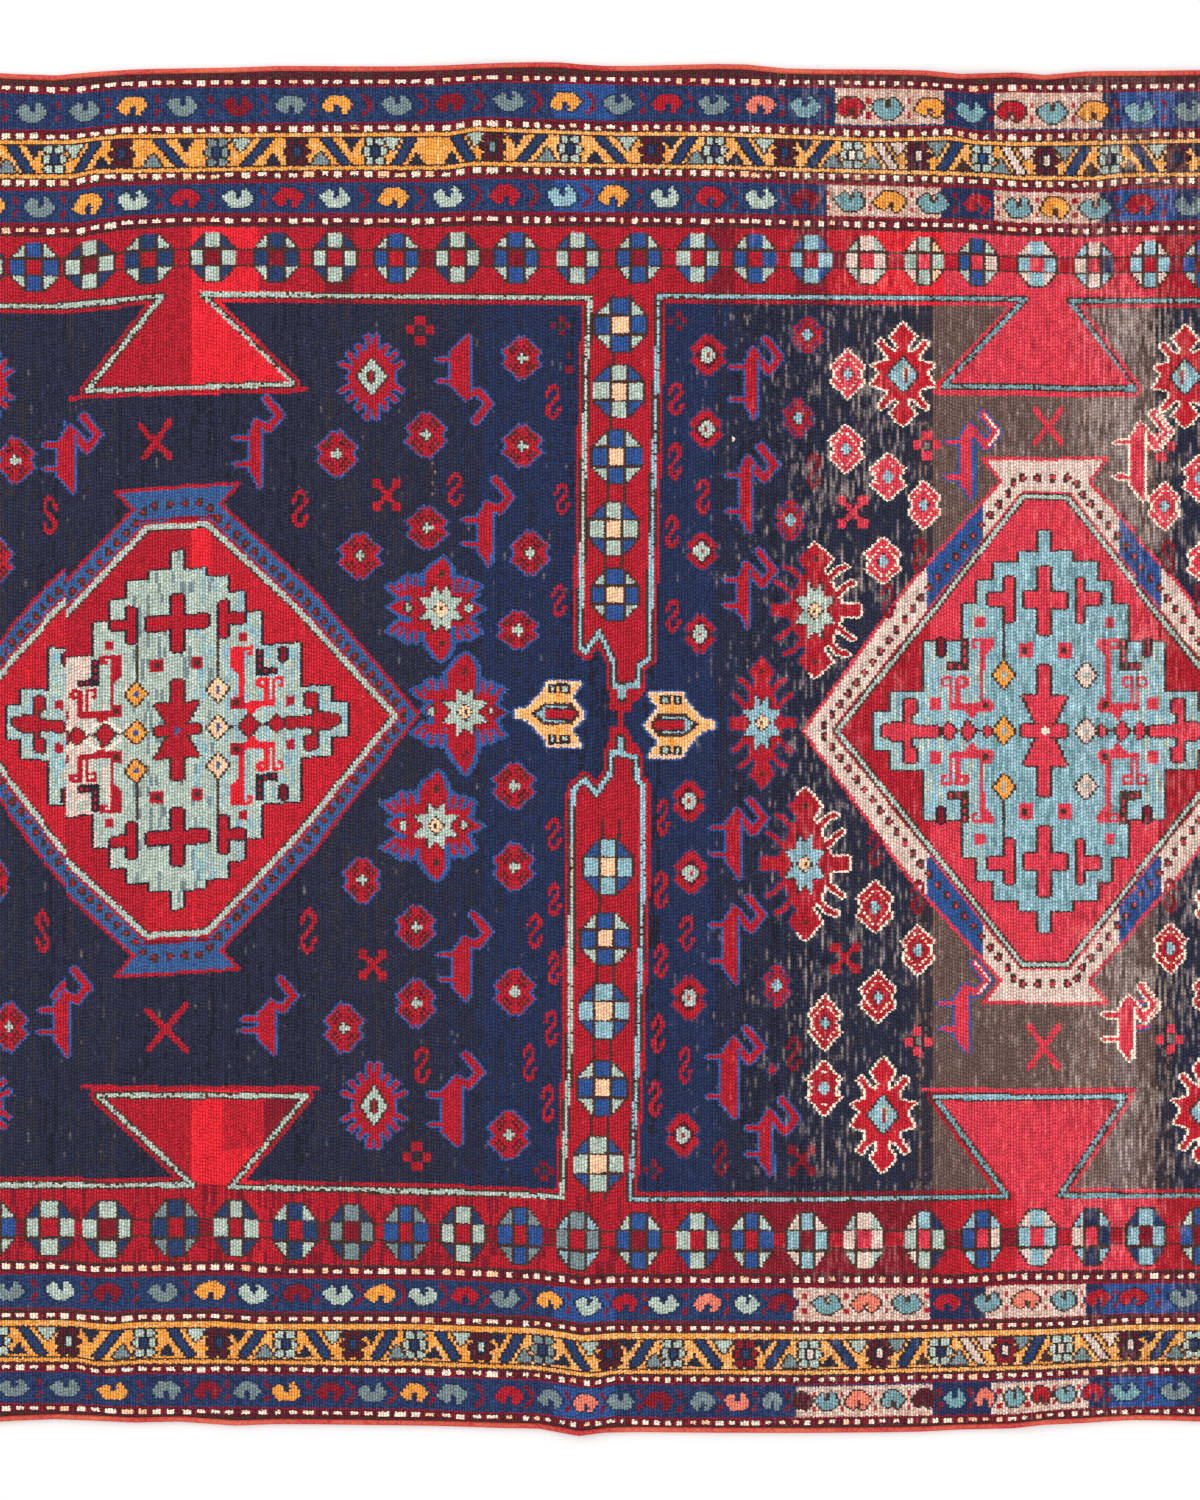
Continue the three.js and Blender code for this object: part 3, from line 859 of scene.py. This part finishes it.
for side, y, high, first in (("far", corner_far, 24, 0), ("near", corner_near, 28, 1)):
    places, arms, corners = wheels[side]
    seen = list(zip(places, arms.split(), corners.split()))
    row = completed(seen, corner_x, (58, 58), wheel_kinds, (first, 0))
    links([x for x, _, _ in row], y, 0)
    for x, arms, corners in row:
        middle = "rose" if 210 < x < 530 else "wine" if int(x) % 3 < 1 else "crimson"
        wide = np.interp(x, (-470, -400, 100, 330), (23.6, 21.6, 21, 18.8))
        wheel((x, y), arms, corners, middle=middle, size=(wide, high))
row = [corner_near] + onward(corner_near, corner_far, 59)
for way in (-1, 1):
    links(row, way * corner_x, way)
    for k, y in enumerate(row[1:-1]):
        wheel((way * corner_x, y), *wheel_kinds[1 - k % 2], turn=way, size=(21, 25))

# Leaves of the blue borders, with a chevron or two small strokes between. Each
# row has its places, its wools, and which way each leaf points
leaf = [(-1.0, -0.1), (-0.75, 0.4), (-0.45, 0.95), (0.3, 1.0), (0.72, 0.7), (1.02, 0.1), (0.8, -0.35),
        (0.52, -0.95), (0.22, -0.9), (0.3, -0.35), (0.1, 0.05), (-0.15, -0.05), (-0.14, -0.6),
        (-0.4, -0.85), (-0.78, -0.5)]
leaf_rows = {
    ("far", 198): (
        (-530, -483, -433, -377, -325, -278, -218, -165, -106, -50, 3, 52, 98, 145, 190, 235, 272, 315,
         355, 396, 437, 478, 525),
        "smoke gold smoke wine smoke gold smoke wine smoke gold smoke crimson smoke salmon teal "
        "crimson teal gold teal crimson teal gold teal",
        "^v^^vv^v^v^v^v^v^v^v^v^"),
    ("far", 102): (
        (-527, -482, -430, -377, -327, -280, -222, -167, -110, -53, -2, 50, 95, 145, 190, 235, 275, 318,
         363, 403, 440, 480, 525),
        "gold sage crimson sage crimson sage gold sage crimson ice gold sage crimson sage wine teal "
        "gold teal crimson teal gold teal crimson",
        "v^v^v^v^v^v^v^v^v^v^v^v"),
    ("near", 102): (
        (-555, -507, -452, -405, -362, -318, -277, -235, -192, -150, -110, -66, -27, 10, 48, 92, 132,
         167, 212, 251, 292, 332, 372, 411, 449, 483, 518),
        "sage wine smoke gold sage wine sage gold sage crimson smoke gold sage crimson sage salmon "
        "sage wine teal salmon teal crimson teal salmon teal crimson crimson",
        "^v^v^v^v^v^v^v^v^v^v^v^v^vv"),
    ("near", 198): (
        (-550, -502, -449, -408, -368, -329, -285, -243, -201, -163, -106, -65, -30, 5, 43, 87, 122, 157,
         187, 212, 243, 278, 309, 340, 370, 399, 426, 450, 478, 510),
        "smoke gold smoke wine smoke gold wine smoke gold smoke crimson smoke salmon smoke wine smoke "
        "salmon smoke maroon teal salmon teal maroon teal salmon teal crimson teal crimson teal",
        "^^vvv^v^vvvvv^vv^vv^vvv^v^v^v^"),
}
leaf_kinds = (("smoke", "^"), ("gold", "v"), ("sage", "^"), ("crimson", "v"))


def leaves(row, across, turn, high, spans=(), chevrons=(-1e4, 1e4)):
    for k, (along, wool, way) in enumerate(row):
        after = row[k + 1][0] if k + 1 < len(row) else along + 40
        on_pale = any(low < along < top for low, top in spans)
        paint(wool, [(0, leaf)], size=(min(15.5, (after - along) * 0.36), -high if way == "^" else high),
              rim="umber" if on_pale else "deep", **spot(along, across, turn))
        middle = (along + after) / 2
        place = spot(middle, across, turn)
        if any(low < middle < top for low, top in spans):
            paint("crimson", [blob(0, 7, 3.6, 6), blob(0, -7, 3.6, 6)], **place)
        elif chevrons[0] < middle < chevrons[1]:
            paint("wine", [(3.8, [(-4, 10), (3, 3), (3, -3), (-4, -10)])], **place)
        else:
            paint("wine", [(3.8, [(-1, 9), (1.5, 4.5)]), (3.8, [(1.5, -4.5), (-1, -9)])], **place)


for (side, deep), (places, colours, ways) in leaf_rows.items():
    row = completed(list(zip(places, colours.split(), ways)), np.interp(deep, usual, depths["end"]),
                    (51, 48), leaf_kinds)
    high, chevrons = (10, (-268, -15)) if side == "far" else (9.3, (-270, -70))
    leaves(row, depth_level(side, deep), 0, high, pale_spans[side, deep], chevrons)
for way in (-1, 1):
    for deep in (102, 198):
        places = onward(depth_level("near", deep), depth_level("far", deep), 50)[:-1]
        row = [(y, *leaf_kinds[(k + 1) % 4]) for k, y in enumerate(places)]
        leaves(row, way * np.interp(deep, usual, depths["end"]), way, 9.5)

# Flowers of the yellow borders, with a slanting bar and two triangles between.
# Each row has the flowers' places, and the wools of their petals and middles
petal = whole([(0, 4), (2.1, 4), (4.1, 1.8), (4.1, 0)])
petals = [(0, [(side * out + px, level + py) for px, py in petal])
          for side in (-1, 1) for level, out in ((9.8, 5.2), (0, 7), (-9.8, 5.2))]


def flower_row(row, across, turn, falls):
    """A row of flowers; falls says whether the bar after a dark flower goes down."""
    for along, wool, middle in row:
        paint(wool, petals, rim="coal", **spot(along, across, turn))
        paint(middle, [blob(0, 0, 5.5, 9)], rim="coal", **spot(along, across, turn))
    for (along, wool, _), (after, _, _) in zip(row, row[1:]):
        dark = wool in ("maroon", "wine")
        slopes = [-1 if dark == falls else 1]
        if after - along > 100:
            slopes, falls = [slopes[0], -slopes[0]], not falls
        for k, slope in enumerate(slopes):
            middle = along + (after - along) * (k + 0.5) / len(slopes)
            pale = turn == 0 and 240 < middle < 500
            upper, lower = ("navy", "smoke") if dark else ("sage", "navy")
            if pale:
                upper, lower = ("blush", "smoke") if slope < 0 else ("smoke", "umber")
            half = min(12, 0.18 * (after - along) / len(slopes) - 3)
            wing = min(9.5, half + 0.8)
            bar = [(-half - 4.2, -13.8 * slope), (-half + 4.2, -13.8 * slope), (half + 4.2, 13.8 * slope),
                   (half - 4.2, 13.8 * slope)]
            paint("blush" if pale and slope < 0 else "blue", [(0, bar)], rim="coal",
                  **spot(middle, across, turn))
            for wool, way in ((upper, 1), (lower, -1)):
                paint(wool, [(0, [(-wing, 13.8 * way), (wing, 13.8 * way), (0, -0.5 * way)])],
                      rim="umber" if wool in ("smoke", "sage", "blush") else None,
                      **spot(middle - (half + 4.5) * slope * way, across, turn))


flowers = {
    "far": (
        (-493, -398, -318, -240, -122, -45, 37, 100, 170, 238, 303, 367, 431, 495),
        "maroon smoke maroon sage maroon sage maroon sage maroon sage maroon sage maroon sage",
        "blue blue blue blue smoke blue blue blue blue cream blush azure blush navy"),
    "near": (
        (-547, -470, -397, -330, -262, -200, -134, -72, -5, 58, 130, 194, 264, 325, 390, 447, 515),
        "maroon sage maroon sage maroon sage maroon smoke maroon sage wine sage maroon sage wine sage "
        "maroon",
        "sage blue blue blue blue blue sage blue blue blue blue blush blush deep blush blush blush"),
}
flower_kinds = (("sage", "blue"), ("maroon", "blue"))
middle_depth = 150.5
corner = np.interp(middle_depth, usual, depths["end"])
for side, (places, colours, middles) in flowers.items():
    seen = list(zip(places, colours.split(), middles.split()))
    row = completed(seen, corner, (68, 66), flower_kinds, (seen[0][1] == "sage", seen[-1][1] == "sage"))
    flower_row(row, depth_level(side, middle_depth), 0, side == "far")
low, high = depth_level("near", middle_depth), depth_level("far", middle_depth)
row = [(y, *flower_kinds[k % 2]) for k, y in enumerate([low] + onward(low, high, 66))]
for way in (-1, 1):
    flower_row(row, way * corner, way, True)


# The sheet itself: one mesh face for each three rows and two knots, laid where
# the courses lie, then given its thickness
rows_in_face, tufts_in_face = 3, 4
faces_along, faces_across = rows // rows_in_face, 2 * knots // tufts_in_face
strip_x = np.linspace(pile_length / 2 + pile_stop, pile_length / 2 + flat_strip, 5)
pile_x = np.linspace(-pile_length / 2, pile_length / 2, faces_along + 1)
cloth_x = np.concatenate([-strip_x[::-1], pile_x, strip_x])
cloth_level = np.linspace(-edge_level, edge_level, faces_across + 1)
bpy.ops.object.select_all(action="DESELECT")
bpy.ops.mesh.primitive_grid_add(x_subdivisions=len(cloth_x) - 1, y_subdivisions=faces_across, size=2)
cloth = bpy.context.object
cloth.name = "knotted_cloth"
top_count = len(cloth.data.vertices)


def as_vertices(*values):
    """Values on the cloth's grid, in the order of the primitive's vertices."""
    grid = np.broadcast_arrays(*[np.asarray(value, float) for value in values])
    return np.stack(grid, 2).transpose(1, 0, 2).reshape(-1, 3)


lie_y = lie(cloth_x, cloth_level)
share = (lie_y - lie_y[:, :1]) / (lie_y[:, -1:] - lie_y[:, :1])
lift_rows = np.array([[np.interp(x, sections, column) for column in lifts.T] for x in cloth_x])
lift = np.array([np.interp(at, np.linspace(0, 1, lifts.shape[1]), row) for at,
                 row in zip(share, lift_rows)])
past = np.clip((np.abs(cloth_x) - pile_length / 2) / pile_stop, 0, 1)[:, None]
thickness = pile_thickness + (flat_thickness - pile_thickness) * past
face_side = as_vertices(cloth_x[:, None], lie_y, lift + thickness) / 1000
underside = as_vertices(cloth_x[:, None], lie_y, lift) / 1000
cloth.data.vertices.foreach_set("co", face_side.ravel())

# Each vertex knows its row and tuft, and each face the wools of its twelve
# tufts, written as three numbers of four digits
row_at = (np.clip(cloth_x, -pile_length / 2, pile_length / 2) / pile_length + 0.5) * rows
tuft_at = (cloth_level / edge_level + 1) * knots
place = cloth.data.attributes.new("knot_place", "FLOAT_VECTOR", "POINT")
place.data.foreach_set("vector", as_vertices(row_at[:, None], tuft_at[None, :], 0.0).ravel())
tufts = chart.reshape(faces_along, rows_in_face, faces_across, tufts_in_face).astype(float)
digits = (tufts * float(most_wools) ** np.arange(tufts_in_face)).sum(3).transpose(0, 2, 1) + 0.5
strips = (len(cloth_x) - 1 - faces_along) // 2
digits = np.pad(digits, ((strips, strips), (0, 0), (0, 0)), mode="edge")
wool_digits = cloth.data.attributes.new("wools", "FLOAT_VECTOR", "FACE")
wool_digits.data.foreach_set("vector", digits.transpose(1, 0, 2).ravel())

cloth_depth = cloth.modifiers.new("cloth_depth", "SOLIDIFY")
cloth_depth.thickness = 0.005
cloth_depth.offset = -1
bpy.ops.object.modifier_apply(modifier=cloth_depth.name)
laid = np.vstack([face_side, underside])
cloth.data.vertices.foreach_set("co", laid.ravel())
cloth.data.update()
for polygon in cloth.data.polygons:
    polygon.use_smooth = True
    polygon.material_index = int(abs(polygon.center.x) * 1000 > pile_length / 2 + 0.01)

# The layout for a baked picture gives the rug's face most of the room
for old in [layer.name for layer in cloth.data.uv_layers]:
    cloth.data.uv_layers.remove(cloth.data.uv_layers[old])
layout = cloth.data.uv_layers.new(name="OFBake")
for polygon in cloth.data.polygons:
    on_top = [cloth.data.loops[k].vertex_index < top_count for k in polygon.loop_indices]
    for k, top in zip(polygon.loop_indices, on_top):
        x, y, _ = laid[cloth.data.loops[k].vertex_index]
        across = y / 1.38 + 0.5
        if all(on_top):
            v = 0.345 + 0.65 * across
        elif not any(on_top):
            v = 0.005 + 0.31 * across
        else:
            v = 0.335 if top else 0.325
        layout.data[k].uv = (0.005 + 0.99 * (x / 2.14 + 0.5), v)


# Pile wool: each tuft in its own dyed wool, ragged at the edges, with painted shade
# down between the rows and a painted highlight at the tips, and worn streaks in the dark ground
def wool_of(name, roughness):
    """A wool's material; the nodes made after it go into its tree."""
    material = bpy.data.materials.new(name)
    material.use_nodes = True
    shader = material.node_tree.nodes["Principled BSDF"]
    shader.inputs["Roughness"].default_value = roughness
    shader.inputs["Specular IOR Level"].default_value = 0.12
    return material, material.node_tree, shader


def node(kind, inputs=(), **settings):
    made = tree.nodes.new("ShaderNode" + kind)
    for setting, value in settings.items():
        setattr(made, setting, value)
    for slot, value in dict(inputs).items():
        if isinstance(value, bpy.types.NodeSocket):
            tree.links.new(value, made.inputs[slot])
        else:
            made.inputs[slot].default_value = value
    return made


def sums(operation, *values, **settings):
    return node("Math", enumerate(values), operation=operation, **settings).outputs[0]


def times(a, b):
    return sums("MULTIPLY", a, b)


def scaled(value, factor, offset):
    return sums("MULTIPLY_ADD", value, factor, offset)


def noise(where, scale, detail, dimensions="3D", **inputs):
    """Soft noise by a place, or in one dimension by a single value."""
    inputs |= {"W" if dimensions == "1D" else "Vector": where, "Scale": scale, "Detail": detail}
    return node("TexNoise", inputs, noise_dimensions=dimensions).outputs


def mixed(share, first, second, **settings):
    return node("Mix", {0: share, 6: first, 7: second}, data_type="RGBA", **settings).outputs[2]


def finish(colour, height, distance, strength):
    bump = node("Bump", {"Height": height, "Distance": distance, "Strength": strength})
    tree.links.new(colour, shader.inputs["Base Color"])
    tree.links.new(bump.outputs["Normal"], shader.inputs["Normal"])


def linear(colour):
    return [((c / 255 + 0.055) / 1.055) ** 2.4 if c > 10 else c / 255 / 12.92 for c in colour] + [1.0]


def between(value, *stops):
    """A colour from a ramp between two others, each with its place on the ramp."""
    ramp = node("ValToRGB", {0: value})
    for stop, (position, colour) in zip(ramp.color_ramp.elements, stops):
        stop.position = position
        stop.color = linear(colour)
    return ramp.outputs[0]


pile_wool, tree, shader = wool_of("pile_wool_knots", 0.95)
shader.inputs["Sheen Weight"].default_value = 0.08
shader.inputs["Sheen Roughness"].default_value = 0.5
place = node("Attribute", attribute_name="knot_place").outputs["Vector"]
along, across, _ = node("SeparateXYZ", {0: place}).outputs
columns = node("SeparateXYZ", {0: node("Attribute", attribute_name="wools").outputs["Vector"]}).outputs
wander = noise(place, 1.1, 1.0, "2D")["Color"]
row_wander, tuft_wander, _ = node("SeparateColor", {0: wander}).outputs
row_shift = scaled(row_wander, 1.5, -0.75)
tuft_shift = scaled(tuft_wander, 2.4, -1.2)


def picked(at, shift, count):
    """Which of a face's rows or tufts is here, its edge wandering a little."""
    inside_face = sums("ADD", sums("MODULO", at, float(count)), shift)
    return sums("FLOOR", sums("MAXIMUM", sums("MINIMUM", inside_face, count - 0.01), 0.0))


row_pick = picked(along, row_shift, rows_in_face)
tuft_pick = picked(across, tuft_shift, tufts_in_face)
number = 0.0
for k in range(rows_in_face):
    number = scaled(sums("COMPARE", row_pick, float(k), 0.1), columns[k], number)
for k in range(tufts_in_face - 1):
    past_tuft = sums("GREATER_THAN", tuft_pick, k + 0.5)
    number = times(number, scaled(past_tuft, 1 / most_wools - 1, 1.0))
wool_number = sums("MODULO", sums("FLOOR", number), float(most_wools))
dyed = node("ValToRGB", {0: times(sums("ADD", wool_number, 0.5), 1 / most_wools)})
dyed.color_ramp.interpolation = "CONSTANT"
stops = dyed.color_ramp.elements
for k, colour in enumerate(wools.values()):
    stop = stops[k] if k < 2 else stops.new(k / most_wools)
    stop.position = k / most_wools
    stop.color = linear(colour)

# Wear: streaks one row wide, down to the pale ground weave, by their place
# along the rug
worn_at = node("ValToRGB", {0: scaled(along, 1 / rows, 0.0)})
stops = worn_at.color_ramp.elements
for x, amount in ((-1045, 0.0), (45, 0.0), (75, 0.12), (150, 0.28), (205, 0.56), (300, 0.45), (330, 0.2),
                  (450, 0.4), (468, 0.75), (530, 0.75), (640, 0.4), (800, 0.1)):
    stops.new(x / pile_length + 0.5).color = (amount, amount, amount, 1)
stops.remove(stops[-1])
stops.remove(stops[0])
own_row = sums("FLOOR", scaled(row_shift, 0.5, along))
streak_place = node("CombineXYZ", {0: times(own_row, 0.85), 1: times(across, 0.085)}).outputs[0]
streak = noise(streak_place, 1.0, 4.0, "2D")["Fac"]
patch = noise(place, 0.035, 2.0, "2D")["Fac"]
upward = scaled(across, 0.5 / (2 * knots), 0.75)
wear = times(times(worn_at.outputs[0], upward), scaled(patch, 2.2, -0.1))
threshold = scaled(wear, -0.34, 0.7)
bare = sums("MULTIPLY", sums("SUBTRACT", streak, threshold), 5.0, use_clamp=True)
ground = sums("MAXIMUM", sums("LESS_THAN", wool_number, ground_wools - 0.5),
              sums("COMPARE", wool_number, float(ink["earth"]), 0.5))
bare_here = times(bare, scaled(ground, 0.34, 0.16))
worn = mixed(bare_here, dyed.outputs[0], linear((158, 140, 132)))

# Brightness: every knot its own tone, the dye's along the rug, the fibres', and the tuft's painted shade,
# darker down between the rows and knots
knot_place = node("CombineXYZ", {0: sums("FLOOR", along), 1: sums("FLOOR", times(across, 0.5))})
own = node("TexWhiteNoise", {"Vector": knot_place.outputs[0]}, noise_dimensions="2D").outputs["Value"]
dye = noise(along, 0.11, 6.0, "1D", Roughness=0.75)["Fac"]
fibres = noise(node("TexCoord").outputs["Object"], 620.0, 3.0)["Fac"]
row_offset = node("TexWhiteNoise", {"W": sums("FLOOR", along)}, noise_dimensions="1D").outputs["Value"]
row_wave = sums("FRACT", scaled(row_shift, 0.5, along))
knot_wave = sums("FRACT", sums("ADD", scaled(tuft_shift, 0.25, times(across, 0.5)), row_offset))
# Each tuft's rounded top, 1 at its tip and 0 down between rows and knots; it sets the painted shade, the
# painted highlight and the bump
row_round = sums("POWER", sums("SINE", times(row_wave, math.pi)), 0.8)
knot_round = sums("POWER", sums("SINE", times(knot_wave, math.pi)), 0.45)
tuft = times(row_round, knot_round)
uneven = times(sums("ADD", wear, 0.2), scaled(streak, 2.0, -1.0))
# Painted shade: darker down between rows and knots, brighter on each tuft's top, then times the wool's own
# tone changes
tone_and_painted_shade = scaled(tuft, 1.15, 0.4)
for darker in (scaled(own, 0.32, 0.84), scaled(dye, 0.5, 0.75), scaled(fibres, 1.0, 0.5),
               sums("ADD", uneven, 1.0)):
    tone_and_painted_shade = times(tone_and_painted_shade, darker)
tone_and_shade_colour = node("CombineColor", {0: tone_and_painted_shade, 1: tone_and_painted_shade, 2: tone_and_painted_shade}).outputs[0]
toned_and_shaded = mixed(1.0, worn, tone_and_shade_colour, blend_type="MULTIPLY")
# Painted highlight: the tuft tips mixed a little towards a pale colour
painted_tip_highlight = times(times(tuft, tuft), times(fibres, 0.03))
with_tip_highlight = mixed(painted_tip_highlight, toned_and_shaded, (0.9, 0.87, 0.84, 1))
finish(with_tip_highlight, scaled(fibres, 0.8, times(tuft, 0.8)), 0.0011, 0.55)
cloth.data.materials.append(pile_wool)

# Flat-woven ends: weft yarns beaten down over the warps
flat_woven, tree, shader = wool_of("flat_woven_wool", 0.95)
warp_pitch, weft_pitch = 0.0036, 0.0011
where = node("TexCoord").outputs["Object"]
along, across, _ = node("SeparateXYZ", {0: where}).outputs
warp = sums("SINE", times(across, 2 * math.pi / warp_pitch))
weft = sums("SINE", times(along, 2 * math.pi / weft_pitch))
fibres = noise(where, 500.0, 4.0)["Fac"]
weft_wool = between(fibres, (0.3, (88, 26, 36)), (0.75, (156, 44, 52)))
finish(weft_wool, scaled(warp, 0.5, scaled(weft, 0.25, fibres)), 0.0006, 0.6)
cloth.data.materials.append(flat_woven)

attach(cloth, "root")
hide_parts("rug_body")

# Bindings: a cord along each long edge, wrapped over and over with wool yarn so
# that the edge doesn't fray. One turn of yarn is modelled, repeated along the
# cord, and laid against the cloth's edge.
binding_width, binding_height, binding_gap = 6.5, 6.2, 0.3
turn_count = 800
turn_pitch = 2 * (pile_length / 2 + flat_strip) / turn_count
bindings = []
for side, name, cad_node in ((1, "binding_yarn_far", "binding_far"),
                             (-1, "binding_yarn_near", "binding_near")):
    bpy.ops.object.select_all(action="DESELECT")
    bpy.ops.mesh.primitive_cylinder_add(vertices=8, radius=0.46, depth=turn_pitch,
                                        end_fill_type="NOTHING",
                                        rotation=(0, math.pi / 2, 0))
    bpy.ops.object.transform_apply(location=False, rotation=True, scale=False)
    yarn = bpy.context.object
    yarn.name = name
    bpy.ops.object.mode_set(mode="EDIT")
    bpy.ops.mesh.select_all(action="SELECT")
    bpy.ops.mesh.bisect(plane_co=(0, 0, 0), plane_no=(1, 0, 0))
    bpy.ops.object.mode_set(mode="OBJECT")
    for vertex in yarn.data.vertices:
        if abs(vertex.co.x) < 0.1:
            vertex.co.y *= 1.06
            vertex.co.z *= 1.06
    wrapped = yarn.modifiers.new("wrapped", "ARRAY")
    wrapped.count = turn_count
    wrapped.relative_offset_displace = (1, 0, 0)
    wrapped.use_merge_vertices = True
    wrapped.merge_threshold = 0.01
    bpy.ops.object.modifier_apply(modifier=wrapped.name)
    turned = np.array([vertex.co for vertex in yarn.data.vertices])
    x = turned[:, 0] - pile_length / 2 - flat_strip + turn_pitch / 2
    edge = lie(x, np.array([side * edge_level]))[:, 0] + side * (binding_gap + binding_width / 2)
    y = edge + turned[:, 1] * binding_width
    edge_lift = np.interp(x, sections, lifts[:, -1 if side > 0 else 0])
    z = np.maximum(binding_height * (0.5 + turned[:, 2]), 0) + edge_lift
    slant = np.where(np.abs(x) < pile_length / 2 + flat_strip - 1, 1.8 * turned[:, 1], 0)
    yarn.data.vertices.foreach_set("co", (np.stack([x + slant, y, z], 1) / 1000).ravel())
    bpy.ops.object.mode_set(mode="EDIT")
    bpy.ops.mesh.select_all(action="DESELECT")
    bpy.ops.mesh.select_non_manifold()
    bpy.ops.mesh.fill_holes(sides=8)
    bpy.ops.mesh.select_all(action="SELECT")
    bpy.ops.mesh.normals_make_consistent(inside=False)
    bpy.ops.object.mode_set(mode="OBJECT")
    bpy.ops.object.shade_smooth()
    bindings.append((yarn, cad_node))

binding_yarn, tree, shader = wool_of("binding_wool_yarn", 0.9)
where = node("TexCoord").outputs["Object"]
dye = noise(node("SeparateXYZ", {0: where}).outputs[0], 9.0, 3.0, "1D")["Fac"]
fibres = noise(where, 420.0, 4.0)["Fac"]
yarn_wool = between(scaled(fibres, 0.5, times(dye, 0.5)), (0.36, (186, 40, 50)), (0.62, (226, 112, 88)))
finish(yarn_wool, fibres, 0.0006, 0.5)
for yarn, cad_node in bindings:
    yarn.data.materials.append(binding_yarn)
    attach(yarn, "root")
    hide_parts(cad_node)

low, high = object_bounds()
